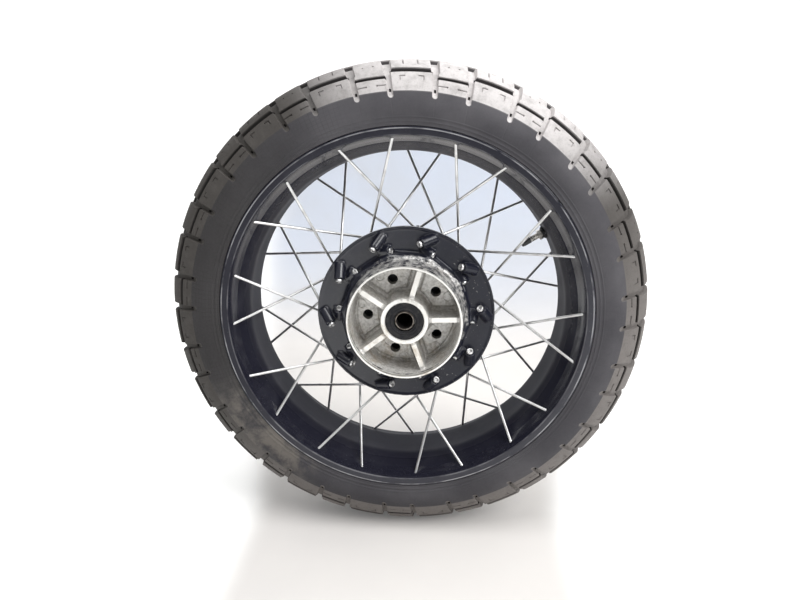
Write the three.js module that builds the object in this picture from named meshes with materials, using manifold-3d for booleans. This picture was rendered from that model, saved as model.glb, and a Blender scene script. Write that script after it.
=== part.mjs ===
// Rear spoked wheel of a dual-sport motorcycle: tyre, tubeless rim, forty cross-laced spokes, cast hub,
// ball bearings and valve. Millimetres. The wheel spins about +Y, its centre is the origin, and the
// drive side faces -Y. Angles are turned from +X towards +Z.
import * as THREE from "three";
import { mergeVertices } from "three/addons/utils/BufferGeometryUtils.js";
import Module from "manifold-3d";

const wasm = await Module();
wasm.setup();

// Clearance that touching pieces keep
const GAP = 0.3;

// Tyre, size 130/70-17
const TYRE_RADIUS = 300.8;
const TYRE_HALF_WIDTH = 64.5;
const CROWN_THICKNESS = 11;
const BEAD_HEEL_RADIUS = 241;
// Lower edge of the sidewall, just outside the spoke heads, which reach radius 226.5
const RIM_PROTECTOR_RADIUS = 227.3;

// Rim, size 17 x 3.5
const BEAD_SEAT_RADIUS = 218.3;
const BEAD_FLANGE_Y = 44.45;
const FLANGE_RADIUS = 232.3;
const RIM_LIP_RADIUS = 224.3;
const RIM_LIP_Y = 62.6;
const WELL_RADIUS = 198.9;
const WELL_WALL = 4;
const WELL_HALF_WIDTH = 22;
const RIM_GROOVE_RADIUS = 221.7;
const RIM_SIDE_RADIUS = 216.6;
const RING_SEGMENTS = 48;

// Spokes: where their centre lines leave the rim, and each row's place on the hub
const SPOKE_RADIUS = 1.7;
const SPOKE_EXIT_RADIUS = 212.2;
const SPOKE_EXIT_Y = 50.8;
const SPOKE_SEAT_DEPTH = 12;
const SPOKE_HEAD_RADIUS = 2.9;
const SPOKE_HEAD_HEIGHT = 3;
const NIPPLE_RADIUS = 3;
const NIPPLE_LENGTH = 20;
const NIPPLE_HEAD_RADIUS = 4.4;
const NIPPLE_HEAD_HEIGHT = 3.6;
const SPOKES_PER_ROW = 10;
const SPOKE_SIDES = 5;
const SPOKE_ROWS = [
  { hubRadius: 93.4, hubY: -41.1, hubAngle: 6.5, rimAngle: -31.5, tubeBoss: true },
  { hubRadius: 83.1, hubY: -34.8, hubAngle: -3.9, rimAngle: 56.1, tubeBoss: false },
  { hubRadius: 84.0, hubY: 26.2, hubAngle: 59.6, rimAngle: 22.1, tubeBoss: false },
  { hubRadius: 88.2, hubY: 34.1, hubAngle: 3.2, rimAngle: 38.5, tubeBoss: true },
];

// Hub
const CUP_LIP_Y = -72;
const CUP_RADIUS = 67.6;
const CUP_FLOOR_Y = -26.3;
const NEAR_FLANGE_RADIUS = 111.1;
const NEAR_FLANGE_Y = -32.2;
const FAR_FLANGE_RADIUS = 99;
const FAR_FLANGE_Y = 24;
const FLANGE_THICKNESS = 7;
const WAIST_RADIUS = 60;
const NEAR_BOSS_Y = -62.5;
const FAR_BOSS_Y = 54;
const BOSS_RADIUS = 29.1;
const DISC_FACE_Y = 50;
const DISC_FACE_OUTER_RADIUS = 70;
const DISC_FACE_INNER_RADIUS = 50;
const DISC_BOLT_CIRCLE_RADIUS = 60;
const DISC_BOLT_RADIUS = 4;
const DISC_BOLT_DEPTH = 20;
const HUB_STATIONS = 5;
const RIB_ANGLE = 2;
const RIB_WIDTH = 6.5;
const RIB_TOP_Y = -59;
const RECESS_FLOOR_Y = 8;
const BEARING_SHOULDER_RADIUS = 19.5;
const COLLAR_Y = -42;
const DRIVE_HOLE_ANGLE = 38;
const DRIVE_HOLE_CIRCLE_RADIUS = 47.5;
const DRIVE_HOLE_RADIUS = 6.5;
const DRIVE_HOLE_DEPTH = 22;
const TUBE_BOSS_RADIUS = 6.5;
const TUBE_BOSS_LENGTH = 21;
const HUB_SEGMENTS = 32;

// Bearings (20 x 47 x 14), axle parts and seals
const BEARING_BORE_RADIUS = 10;
const BEARING_RADIUS = 23.5;
const BEARING_WIDTH = 14;
const OUTER_RACE_INNER_RADIUS = 20;
const OUTER_GROOVE_RADIUS = 21.4;
const INNER_RACE_OUTER_RADIUS = 13.4;
const INNER_GROOVE_RADIUS = 12.45;
const GROOVE_HALF_WIDTH = 2.9;
const CAGE_INNER_RADIUS = 15.8;
const CAGE_OUTER_RADIUS = 17.7;
const CAGE_HALF_WIDTH = 3;
const SPACER_RADIUS = 13;
const NEAR_BEARING_Y = -47.5;
const FAR_BEARING_Y = 36.7;
const BALL_RADIUS = 3.97;
const BALL_CIRCLE_RADIUS = 16.75;
const BALL_COUNT = 8;
const BEARING_SEGMENTS = 16;
const COLLAR_RADIUS = 12.3;
const NEAR_COLLAR_END_Y = -59.5;
const FAR_COLLAR_END_Y = 60;
const SEAL_WIDTH = 6.5;

// Valve
const VALVE_ANGLE = 30.35;
const VALVE_STEM_RADIUS = 4;
const VALVE_TIP_RADIUS = 2.6;
const VALVE_SHOULDER = 19;
const VALVE_TIP = 25;
const VALVE_FLANGE_RADIUS = 8;
const VALVE_CAP_RADIUS = 4.15;
const VALVE_NUT_RADIUS = 6.9;

const UP = new THREE.Vector3(0, 1, 0);
const wheel = new THREE.Group();

const rubber = new THREE.MeshStandardMaterial({ color: 0x3c3a3c, roughness: 0.85, metalness: 0 });
const gloss = new THREE.MeshStandardMaterial({ color: 0x23232a, roughness: 0.25, metalness: 0.2 });
const cast = new THREE.MeshStandardMaterial({ color: 0xc9c7c2, roughness: 0.5, metalness: 0.8 });
const steel = new THREE.MeshStandardMaterial({ color: 0xd8d8d8, roughness: 0.3, metalness: 1 });
const seal = new THREE.MeshStandardMaterial({ color: 0x3d3e42, roughness: 0.7, metalness: 0 });

function polar(radius, y, degrees) {
  const angle = THREE.MathUtils.degToRad(degrees);
  return new THREE.Vector3(radius * Math.cos(angle), y, radius * Math.sin(angle));
}

function points(pairs) {
  return pairs.map(([radius, y]) => new THREE.Vector2(radius, y));
}

// A closed outline turned about Y, half a segment round so that a flat faces straight down
function turned(outline, segments) {
  const closed = points([...outline, outline[0]]);
  return new THREE.LatheGeometry(closed, segments, Math.PI / segments);
}

// An outline that starts and ends on the axis, turned about Y
function rod(outline, segments) {
  return new THREE.LatheGeometry(points(outline), segments);
}

// A profile given for y >= 0, mirrored so that it runs from +Y to -Y
function mirrored(half) {
  const back = half.slice().reverse().map(([radius, y]) => [radius, -y]);
  return [...half, ...back];
}

function solid(geometry, matrix) {
  const shape = geometry.clone();
  if (matrix) shape.applyMatrix4(matrix);
  shape.deleteAttribute("normal");
  shape.deleteAttribute("uv");
  const merged = mergeVertices(shape, 1e-4);
  const vertProperties = new Float32Array(merged.attributes.position.array);
  const triVerts = outward(vertProperties, new Uint32Array(merged.index.array));
  return new wasm.Manifold(new wasm.Mesh({ numProp: 3, vertProperties, triVerts }));
}

// Turns every face round if the closed mesh is inside out, and drops faces that have no area
function outward(vertices, triangles) {
  const corner = (i) => new THREE.Vector3().fromArray(vertices, 3 * i);
  const kept = [];
  let volume = 0;
  for (let i = 0; i < triangles.length; i += 3) {
    const [a, b, c] = triangles.slice(i, i + 3);
    if (a !== b && b !== c && c !== a) {
      kept.push(a, b, c);
      volume += corner(a).dot(corner(b).cross(corner(c)));
    }
  }
  if (volume < 0) kept.reverse();
  return new Uint32Array(kept);
}

function geometryOf(manifold) {
  const mesh = manifold.getMesh();
  const geometry = new THREE.BufferGeometry();
  geometry.setAttribute("position", new THREE.BufferAttribute(new Float32Array(mesh.vertProperties), 3));
  geometry.setIndex(new THREE.BufferAttribute(new Uint32Array(mesh.triVerts), 1));
  geometry.computeVertexNormals();
  return geometry;
}

function add(name, geometry, material) {
  const mesh = new THREE.Mesh(geometry, material.clone());
  mesh.name = name;
  wheel.add(mesh);
  return mesh;
}

function addTurned(name, outline, segments, material) {
  return add(name, geometryOf(solid(turned(outline, segments))), material);
}

// Moves a piece made along +Y so that it starts at a point and runs in a direction
function placement(start, direction) {
  const turn = new THREE.Quaternion().setFromUnitVectors(UP, direction);
  return new THREE.Matrix4().compose(start, turn, new THREE.Vector3(1, 1, 1));
}

function bar(radius, from, to, sides, matrix) {
  return solid(rod([[0, from], [radius, from], [radius, to], [0, to]], sides), matrix);
}

// One spoke's centre line: its nipple seat on the hub, its direction and its seat in the rim
function spokeLine(row, index) {
  const step = (360 / SPOKES_PER_ROW) * index;
  const start = polar(row.hubRadius, row.hubY, row.hubAngle + step);
  const exitY = -Math.sign(row.hubY) * SPOKE_EXIT_Y;
  const exit = polar(SPOKE_EXIT_RADIUS, exitY, row.rimAngle + step);
  const direction = exit.clone().sub(start).normalize();
  const length = start.distanceTo(exit) + SPOKE_SEAT_DEPTH;
  return { start, direction, length, tubeBoss: row.tubeBoss, matrix: placement(start, direction) };
}

function allSpokeLines() {
  const lines = [];
  for (const row of SPOKE_ROWS) {
    for (let index = 0; index < SPOKES_PER_ROW; index += 1) lines.push(spokeLine(row, index));
  }
  return lines;
}

function addTyre() {
  const seat = BEAD_SEAT_RADIUS + GAP + 0.1;
  const face = BEAD_FLANGE_Y - GAP;
  addTurned("tyre", mirrored([
    [TYRE_RADIUS, 12],
    [TYRE_RADIUS - 5.5, 32],
    [TYRE_RADIUS - 14.5, 44.5],
    [TYRE_RADIUS - 38, 60],
    [TYRE_RADIUS - 49, TYRE_HALF_WIDTH],
    [BEAD_HEEL_RADIUS, TYRE_HALF_WIDTH - 1.1],
    [RIM_PROTECTOR_RADIUS, RIM_LIP_Y - 2],
    [RIM_PROTECTOR_RADIUS, RIM_LIP_Y - 5],
    [FLANGE_RADIUS + 0.6, 51.6],
    [FLANGE_RADIUS + 0.5, 45.6],
    [FLANGE_RADIUS - 1, face],
    [seat, face],
    [seat, 33],
    [252, 56.5],
    [TYRE_RADIUS - CROWN_THICKNESS - 8, 36],
    [TYRE_RADIUS - CROWN_THICKNESS, 12],
  ]), RING_SEGMENTS, rubber);
}

function addRim(lines) {
  const outline = mirrored([
    [WELL_RADIUS + WELL_WALL, WELL_HALF_WIDTH - 5],
    [BEAD_SEAT_RADIUS, 30],
    [BEAD_SEAT_RADIUS, BEAD_FLANGE_Y],
    [FLANGE_RADIUS - 1.3, BEAD_FLANGE_Y],
    [FLANGE_RADIUS, 46],
    [FLANGE_RADIUS, 50],
    [RIM_GROOVE_RADIUS, 53],
    [RIM_LIP_RADIUS, RIM_LIP_Y - 1.2],
    [RIM_LIP_RADIUS, RIM_LIP_Y],
    [RIM_SIDE_RADIUS, RIM_LIP_Y - 0.8],
    [SPOKE_EXIT_RADIUS + 0.3, SPOKE_EXIT_Y],
    [WELL_RADIUS, WELL_HALF_WIDTH],
  ]);
  let rim = solid(turned(outline, RING_SEGMENTS));
  const seatEnd = SPOKE_SEAT_DEPTH + 14;
  for (const line of lines) {
    const seat = line.length - GAP;
    rim = rim.subtract(bar(SPOKE_RADIUS + 0.5, seat - 30, seat + seatEnd, SPOKE_SIDES, line.matrix));
    rim = rim.subtract(bar(SPOKE_HEAD_RADIUS + GAP, seat, seat + seatEnd, SPOKE_SIDES, line.matrix));
  }
  const valveHole = placement(polar(WELL_RADIUS - 10, 0, VALVE_ANGLE), polar(1, 0, VALVE_ANGLE));
  rim = rim.subtract(bar(VALVE_STEM_RADIUS + GAP, 0, 30, 12, valveHole));
  add("rim", geometryOf(rim), gloss);
}

function hubBody() {
  return solid(turned([
    [CUP_RADIUS, CUP_LIP_Y],
    [CUP_RADIUS + 1.9, CUP_LIP_Y],
    [71, -58],
    [74, COLLAR_Y],
    [74, NEAR_FLANGE_Y],
    [NEAR_FLANGE_RADIUS - 2.5, NEAR_FLANGE_Y],
    [NEAR_FLANGE_RADIUS - 2.5, NEAR_FLANGE_Y - 1.2],
    [NEAR_FLANGE_RADIUS, NEAR_FLANGE_Y - 1.2],
    [NEAR_FLANGE_RADIUS, NEAR_FLANGE_Y + FLANGE_THICKNESS],
    [WAIST_RADIUS + 8, NEAR_FLANGE_Y + FLANGE_THICKNESS],
    [WAIST_RADIUS, NEAR_FLANGE_Y + 2 * FLANGE_THICKNESS],
    [WAIST_RADIUS, FAR_FLANGE_Y - 2 * FLANGE_THICKNESS],
    [WAIST_RADIUS + 8, FAR_FLANGE_Y - FLANGE_THICKNESS],
    [FAR_FLANGE_RADIUS, FAR_FLANGE_Y - FLANGE_THICKNESS],
    [FAR_FLANGE_RADIUS, FAR_FLANGE_Y],
    [DISC_FACE_OUTER_RADIUS + 2, FAR_FLANGE_Y],
    [DISC_FACE_OUTER_RADIUS, DISC_FACE_Y],
    [DISC_FACE_INNER_RADIUS, DISC_FACE_Y],
    [DISC_FACE_INNER_RADIUS - 2, RECESS_FLOOR_Y],
    [BOSS_RADIUS + 2, RECESS_FLOOR_Y],
    [BOSS_RADIUS, FAR_BOSS_Y],
    [BEARING_RADIUS + GAP, FAR_BOSS_Y],
    [BEARING_RADIUS + GAP, FAR_BEARING_Y - BEARING_WIDTH / 2 - GAP],
    [BEARING_SHOULDER_RADIUS, FAR_BEARING_Y - BEARING_WIDTH / 2 - GAP],
    [BEARING_SHOULDER_RADIUS, NEAR_BEARING_Y + BEARING_WIDTH / 2 + GAP],
    [BEARING_RADIUS + GAP, NEAR_BEARING_Y + BEARING_WIDTH / 2 + GAP],
    [BEARING_RADIUS + GAP, NEAR_BOSS_Y],
    [BOSS_RADIUS, NEAR_BOSS_Y],
    [BOSS_RADIUS + 1.5, CUP_FLOOR_Y],
    [CUP_RADIUS - 3, CUP_FLOOR_Y],
    [CUP_RADIUS, -58],
  ], HUB_SEGMENTS));
}

// One of the five ribs that drive the cush rubbers, from the centre boss to the cup wall
function driveRib(index) {
  const length = CUP_RADIUS - BOSS_RADIUS + 1;
  const height = CUP_FLOOR_Y - RIB_TOP_Y + 2;
  const box = new THREE.BoxGeometry(length, height, RIB_WIDTH);
  box.translate(BOSS_RADIUS + length / 2, RIB_TOP_Y + height / 2, 0);
  const turn = -THREE.MathUtils.degToRad(RIB_ANGLE + (360 / HUB_STATIONS) * index);
  return solid(box, new THREE.Matrix4().makeRotationY(turn));
}

function holeAlongY(radius, circleRadius, degrees, from, to, sides) {
  const place = polar(circleRadius, 0, degrees);
  return bar(radius, from, to, sides, new THREE.Matrix4().makeTranslation(place.x, 0, place.z));
}

function addHub(lines) {
  let hub = hubBody();
  for (let index = 0; index < HUB_STATIONS; index += 1) hub = hub.add(driveRib(index));
  for (const line of lines.filter(({ tubeBoss }) => tubeBoss)) {
    hub = hub.add(bar(TUBE_BOSS_RADIUS, 0, TUBE_BOSS_LENGTH, 8, line.matrix));
  }
  for (const line of lines) {
    hub = hub.subtract(bar(NIPPLE_RADIUS + 0.5, -20, 60, SPOKE_SIDES, line.matrix));
    if (line.tubeBoss) continue;
    hub = hub.subtract(bar(NIPPLE_HEAD_RADIUS + 0.5, -18, 0, SPOKE_SIDES, line.matrix));
  }
  for (let index = 0; index < HUB_STATIONS; index += 1) {
    const step = (360 / HUB_STATIONS) * index;
    const floor = CUP_FLOOR_Y - 1;
    const drive = [DRIVE_HOLE_RADIUS, DRIVE_HOLE_CIRCLE_RADIUS, DRIVE_HOLE_ANGLE + step];
    const bolt = [DISC_BOLT_RADIUS, DISC_BOLT_CIRCLE_RADIUS, DRIVE_HOLE_ANGLE + step];
    hub = hub.subtract(holeAlongY(...drive, floor, floor + DRIVE_HOLE_DEPTH, 10));
    hub = hub.subtract(holeAlongY(...bolt, DISC_FACE_Y - DISC_BOLT_DEPTH, DISC_FACE_Y + 1, 6));
  }
  add("hub", geometryOf(hub), cast);
}

// Each spoke with its nipple screwed on, its own solid
function addSpokes(lines) {
  lines.forEach((line, index) => {
    const headBase = line.length;
    const outline = [
      [0, -GAP - NIPPLE_HEAD_HEIGHT],
      [NIPPLE_HEAD_RADIUS, -GAP - NIPPLE_HEAD_HEIGHT],
      [NIPPLE_HEAD_RADIUS, -GAP],
      [NIPPLE_RADIUS, -GAP],
      [NIPPLE_RADIUS, NIPPLE_LENGTH],
      [SPOKE_RADIUS, NIPPLE_LENGTH],
      [SPOKE_RADIUS, headBase],
      [SPOKE_HEAD_RADIUS, headBase],
      [SPOKE_HEAD_RADIUS, headBase + SPOKE_HEAD_HEIGHT],
      [0, headBase + SPOKE_HEAD_HEIGHT],
    ];
    const name = `spoke_${String(index + 1).padStart(2, "0")}`;
    const mesh = add(name, geometryOf(solid(rod(outline, SPOKE_SIDES))), steel);
    mesh.applyMatrix4(line.matrix);
  });
}

function addBearing(side, middle) {
  const half = BEARING_WIDTH / 2;
  addTurned(`${side}_bearing_outer_race`, [
    [BEARING_RADIUS, middle - half],
    [BEARING_RADIUS, middle + half],
    [OUTER_RACE_INNER_RADIUS, middle + half],
    [OUTER_RACE_INNER_RADIUS, middle + GROOVE_HALF_WIDTH],
    [OUTER_GROOVE_RADIUS, middle + 1],
    [OUTER_GROOVE_RADIUS, middle - 1],
    [OUTER_RACE_INNER_RADIUS, middle - GROOVE_HALF_WIDTH],
    [OUTER_RACE_INNER_RADIUS, middle - half],
  ], BEARING_SEGMENTS, steel);
  addTurned(`${side}_bearing_inner_race`, [
    [BEARING_BORE_RADIUS, middle - half],
    [INNER_RACE_OUTER_RADIUS, middle - half],
    [INNER_RACE_OUTER_RADIUS, middle - GROOVE_HALF_WIDTH],
    [INNER_GROOVE_RADIUS, middle - 1],
    [INNER_GROOVE_RADIUS, middle + 1],
    [INNER_RACE_OUTER_RADIUS, middle + GROOVE_HALF_WIDTH],
    [INNER_RACE_OUTER_RADIUS, middle + half],
    [BEARING_BORE_RADIUS, middle + half],
  ], BEARING_SEGMENTS, steel);
  let balls = solid(turned([
    [CAGE_INNER_RADIUS, middle - CAGE_HALF_WIDTH],
    [CAGE_OUTER_RADIUS, middle - CAGE_HALF_WIDTH],
    [CAGE_OUTER_RADIUS, middle + CAGE_HALF_WIDTH],
    [CAGE_INNER_RADIUS, middle + CAGE_HALF_WIDTH],
  ], BEARING_SEGMENTS));
  for (let index = 0; index < BALL_COUNT; index += 1) {
    const place = polar(BALL_CIRCLE_RADIUS, middle, (360 / BALL_COUNT) * index);
    const sphere = new THREE.SphereGeometry(BALL_RADIUS, 6, 4);
    balls = balls.add(solid(sphere, new THREE.Matrix4().makeTranslation(place)));
  }
  add(`${side}_bearing_balls`, geometryOf(balls), steel);
}

function addRing(name, inner, outer, from, to, material) {
  addTurned(name, [[inner, from], [outer, from], [outer, to], [inner, to]], BEARING_SEGMENTS, material);
}

function addAxleParts() {
  const half = BEARING_WIDTH / 2;
  const nearFace = NEAR_BEARING_Y - half;
  const farFace = FAR_BEARING_Y + half;
  const sealInner = COLLAR_RADIUS + 0.5;
  const bore = BEARING_BORE_RADIUS;
  const spacerFrom = nearFace + BEARING_WIDTH + GAP;
  const spacerTo = farFace - BEARING_WIDTH - GAP;
  addRing("bearing_spacer_tube", bore, SPACER_RADIUS, spacerFrom, spacerTo, steel);
  addRing("near_axle_collar", bore, COLLAR_RADIUS, NEAR_COLLAR_END_Y, nearFace - GAP, steel);
  addRing("far_axle_collar", bore, COLLAR_RADIUS, farFace + GAP, FAR_COLLAR_END_Y, steel);
  addRing("near_oil_seal", sealInner, BEARING_RADIUS, nearFace - GAP - SEAL_WIDTH, nearFace - GAP, seal);
  addRing("far_oil_seal", sealInner, BEARING_RADIUS, farFace + GAP, farFace + GAP + SEAL_WIDTH, seal);
}

// A valve piece: an outline along the valve's axis, whose zero is the rim's inner face
function addValvePiece(name, outline, sides, material) {
  const start = polar(WELL_RADIUS, 0, VALVE_ANGLE);
  const inward = polar(-1, 0, VALVE_ANGLE);
  const mesh = add(name, geometryOf(solid(rod(outline, sides))), material);
  mesh.applyMatrix4(placement(start, inward));
}

function addValveRing(name, inner, outer, from, to, sides, material) {
  const start = polar(WELL_RADIUS, 0, VALVE_ANGLE);
  const inward = polar(-1, 0, VALVE_ANGLE);
  const outline = [[inner, from], [outer, from], [outer, to], [inner, to]];
  const mesh = add(name, geometryOf(solid(turned(outline, sides))), material);
  mesh.applyMatrix4(placement(start, inward));
}

function addValve() {
  const clear = VALVE_STEM_RADIUS + 0.35;
  const flange = -WELL_WALL - 0.5;
  addValvePiece("valve_stem", [
    [0, flange - 3],
    [VALVE_FLANGE_RADIUS, flange - 3],
    [VALVE_FLANGE_RADIUS, flange],
    [VALVE_STEM_RADIUS, flange],
    [VALVE_STEM_RADIUS, VALVE_SHOULDER],
    [VALVE_TIP_RADIUS, VALVE_SHOULDER],
    [VALVE_TIP_RADIUS, VALVE_TIP],
    [0, VALVE_TIP],
  ], 12, steel);
  addValveRing("valve_grommet", clear, VALVE_FLANGE_RADIUS, 0.6, 3.6, 12, rubber);
  addValveRing("valve_nut", clear + 0.45, VALVE_NUT_RADIUS, 3.9, 9.5, 6, steel);
  const capFrom = VALVE_SHOULDER + GAP + 0.1;
  const capInside = VALVE_TIP + GAP + 0.1;
  const capEnd = VALVE_TIP + 7.2;
  addValvePiece("valve_cap", [
    [0, capInside],
    [VALVE_TIP_RADIUS + 0.35, capInside],
    [VALVE_TIP_RADIUS + 0.35, capFrom],
    [VALVE_CAP_RADIUS, capFrom],
    [VALVE_CAP_RADIUS, capEnd - 0.8],
    [VALVE_CAP_RADIUS - 0.95, capEnd],
    [0, capEnd],
  ], 12, seal);
}

const lines = allSpokeLines();
addTyre();
addRim(lines);
addHub(lines);
addSpokes(lines);
addBearing("near", NEAR_BEARING_Y);
addBearing("far", FAR_BEARING_Y);
addAxleParts();
addValve();

export default wheel;
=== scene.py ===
"""Rear spoked wheel: block-tread tyre, gloss black tubeless rim, forty spokes and a cast cush-drive hub.

Metres in the scene, millimetres in the mesh code. The wheel spins about +Y; the drive side faces -Y.
"""
import math

import bmesh
import bpy
import numpy as np
from mathutils import Matrix, Vector

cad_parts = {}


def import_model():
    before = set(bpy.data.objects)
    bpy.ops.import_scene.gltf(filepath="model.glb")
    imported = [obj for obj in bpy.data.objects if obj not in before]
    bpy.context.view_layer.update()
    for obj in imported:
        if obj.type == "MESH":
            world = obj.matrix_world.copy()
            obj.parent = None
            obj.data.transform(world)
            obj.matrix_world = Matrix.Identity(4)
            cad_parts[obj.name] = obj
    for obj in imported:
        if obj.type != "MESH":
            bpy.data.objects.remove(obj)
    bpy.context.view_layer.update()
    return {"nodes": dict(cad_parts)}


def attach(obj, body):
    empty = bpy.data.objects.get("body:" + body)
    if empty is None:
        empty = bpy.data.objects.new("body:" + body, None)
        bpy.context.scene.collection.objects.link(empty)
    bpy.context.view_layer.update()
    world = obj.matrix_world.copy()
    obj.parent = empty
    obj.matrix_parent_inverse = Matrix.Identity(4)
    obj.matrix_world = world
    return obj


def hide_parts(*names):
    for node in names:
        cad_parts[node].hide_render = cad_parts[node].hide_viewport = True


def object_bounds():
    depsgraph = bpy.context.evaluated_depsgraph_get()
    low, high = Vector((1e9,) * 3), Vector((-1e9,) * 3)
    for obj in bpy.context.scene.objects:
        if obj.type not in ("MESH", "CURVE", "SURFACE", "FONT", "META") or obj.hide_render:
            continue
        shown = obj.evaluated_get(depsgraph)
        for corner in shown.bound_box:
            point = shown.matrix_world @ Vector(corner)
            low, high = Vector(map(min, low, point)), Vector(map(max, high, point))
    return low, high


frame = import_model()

MM = 0.001
WHEEL = "wheel"
CORE = "axle_core"

# Tyre: outer section from the crown to the bead and the liner behind it, as (radius, y)
TYRE_SECTION = [
    (300.1, 0), (299.9, 12), (298.6, 22), (295.8, 31), (291.3, 39), (284.8, 46), (276.4, 51.5),
    (268.5, 55.5), (263, 57.4), (257.5, 60.2), (251, 62.6), (245, 63.5), (239.5, 63.5), (234, 62.9),
    (229.2, 62.5), (227.0, 62.0), (226.7, 60.2), (227, 57.4), (229, 54.7), (232.9, 51.8),
]
TYRE_LINER = [
    (232.8, 46), (231, 44.1), (218.8, 44.1), (218.8, 34), (236, 48), (252, 54.5), (268, 49), (279, 38),
    (286, 20),
]
TREAD_EDGE_RADIUS = 263
PITCHES = 19
PITCH = 360.0 / PITCHES
TREAD_PHASE = 66.2
TREAD_SLANT = 1.6
FAR_SIDE_SHIFT = 0.5 * PITCH
SIDEWALL_RIBS = (13.2, 17.4, 22.0)
RIB_HALF = 0.8
RIB_HEIGHT = 0.4

# Rim: the flat outer face lies between two radii
WELL_RADIUS = 198.9
RIM_FACE_OUTER = 224.0
RIM_FACE_INNER = 216.9

# Spokes and valve
NIPPLE_HEAD_LENGTH = 3.9
SPOKE_HEAD_HEIGHT = 3.0
SPOKE_NAMES = [f"spoke_{number:02d}" for number in range(1, 41)]
VALVE_ANGLE = 30.35

# Hub
CUP_LIP_Y = -72.0
CUP_FLOOR_Y = -26.3
NEAR_BOSS_Y = -62.5
FAR_BOSS_Y = 54.0
DISC_FACE_Y = 50.0
STATIONS = 5
RIB_ANGLE = 2.0
RIB_WIDTH = 6.5
RIB_TOP_Y = -59.0
DRIVE_HOLE_ANGLE = 38.0
DRIVE_HOLE_CIRCLE = 47.5
DRIVE_HOLE_RADIUS = 6.5
DISC_BOLT_CIRCLE = 60.0
SEAT_RADIUS = 24.9
TUBE_BOSS_RADIUS = 6.5
TUBE_BOSS_LENGTH = 21.0
PAD_Y = -29.3
PAD_INNER_RADIUS = 35.0
PAD_OUTER_RADIUS = 61.0
PAD_RIB_DISTANCE = 9.0

# Bearings
NEAR_BEARING_Y = -47.5
FAR_BEARING_Y = 36.7
BALL_COUNT = 8
BALL_RADIUS = 3.97
BALL_CIRCLE_RADIUS = 16.75

# Camera, in metres and degrees
CAMERA_PLACE = (0.0302, -0.7147, 0.2152)
CAMERA_TILT = 73.95
CAMERA_TURN = 3.12
CAMERA_LENS = 25.65


# ---------------------------------------------------------------- mesh helpers

def new_object(name, vertices, faces, material, sharp=32.0):
    """A smooth-shaded mesh object from vertices in millimetres."""
    mesh = bpy.data.meshes.new(name)
    points = np.asarray(vertices, dtype=np.float32) * MM
    mesh.from_pydata(points.tolist(), [], faces)
    mesh.validate()
    mesh.update()
    mesh.shade_smooth()
    mesh.set_sharp_from_angle(angle=math.radians(sharp))
    piece = bpy.data.objects.new(name, mesh)
    bpy.context.scene.collection.objects.link(piece)
    if material is not None:
        mesh.materials.append(material)
    return piece


def finish_piece(piece, nodes=(), body=WHEEL):
    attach(piece, body)
    if nodes:
        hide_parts(*nodes)
    return piece


def rounded(outline, steps=4):
    """Turns (radius, y, fillet) corners into arcs. The fillet may be left out."""
    corners = [(Vector((c[0], c[1])), c[2] if len(c) > 2 else 0.0) for c in outline]
    count = len(corners)
    result = []
    for i, (corner, fillet) in enumerate(corners):
        if fillet <= 0:
            result.append(tuple(corner))
            continue
        before = corners[i - 1][0] - corner
        after = corners[(i + 1) % count][0] - corner
        reach = min(fillet, 0.45 * before.length, 0.45 * after.length)
        start = corner + before.normalized() * reach
        end = corner + after.normalized() * reach
        for step in range(steps + 1):
            t = step / steps
            point = start * (1 - t) ** 2 + corner * (2 * t * (1 - t)) + end * t ** 2
            result.append(tuple(point))
    return result


def revolve(outline, segments):
    """Vertices and faces of an outline of (radius, y) turned about Y."""
    count = len(outline)
    vertices = []
    for i in range(segments):
        a = 2 * math.pi * i / segments
        c, s = math.cos(a), math.sin(a)
        vertices += [(r * c, y, r * s) for r, y in outline]
    faces = []
    for i in range(segments):
        j = (i + 1) % segments
        for k in range(count):
            m = (k + 1) % count
            faces.append((i * count + k, j * count + k, j * count + m, i * count + m))
    return vertices, faces


def outward(piece):
    """Points a closed mesh's faces out."""
    bm = bmesh.new()
    bm.from_mesh(piece.data)
    bmesh.ops.remove_doubles(bm, verts=bm.verts, dist=1e-7)
    bmesh.ops.recalc_face_normals(bm, faces=bm.faces)
    bm.to_mesh(piece.data)
    bm.free()
    return piece


def turned(name, outline, segments, material, sharp=32.0):
    vertices, faces = revolve(rounded(outline), segments)
    return outward(new_object(name, vertices, faces, material, sharp))


def along(start, direction):
    """Places a piece made along +Y so that it starts at a point and runs in a direction."""
    turn = Vector((0, 1, 0)).rotation_difference(Vector(direction).normalized())
    return Matrix.Translation(Vector(start)) @ turn.to_matrix().to_4x4()


def polar(radius, y, degrees):
    a = math.radians(degrees)
    return Vector((radius * math.cos(a), y, radius * math.sin(a)))


def apply_modifiers(piece):
    graph = bpy.context.evaluated_depsgraph_get()
    graph.update()
    mesh = bpy.data.meshes.new_from_object(piece.evaluated_get(graph))
    old = piece.data
    piece.modifiers.clear()
    piece.data = mesh
    bpy.data.meshes.remove(old)


def joined(name, parts, material, sharp=32.0):
    """One object from several (vertices, faces) parts."""
    vertices, faces = [], []
    for part_vertices, part_faces in parts:
        base = len(vertices)
        vertices += [tuple(v) for v in part_vertices]
        faces += [tuple(base + i for i in face) for face in part_faces]
    return new_object(name, vertices, faces, material, sharp)


def cut(piece, parts, operation="DIFFERENCE"):
    """Applies one boolean with closed parts and removes the cutter."""
    cutter = outward(joined("cutter", parts, None))
    modifier = piece.modifiers.new("cut", "BOOLEAN")
    modifier.operation = operation
    modifier.solver = "MANIFOLD"
    modifier.object = cutter
    apply_modifiers(piece)
    bpy.data.objects.remove(cutter)


def moved(part, matrix):
    vertices, faces = part
    return [matrix @ Vector(v) for v in vertices], faces


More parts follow.
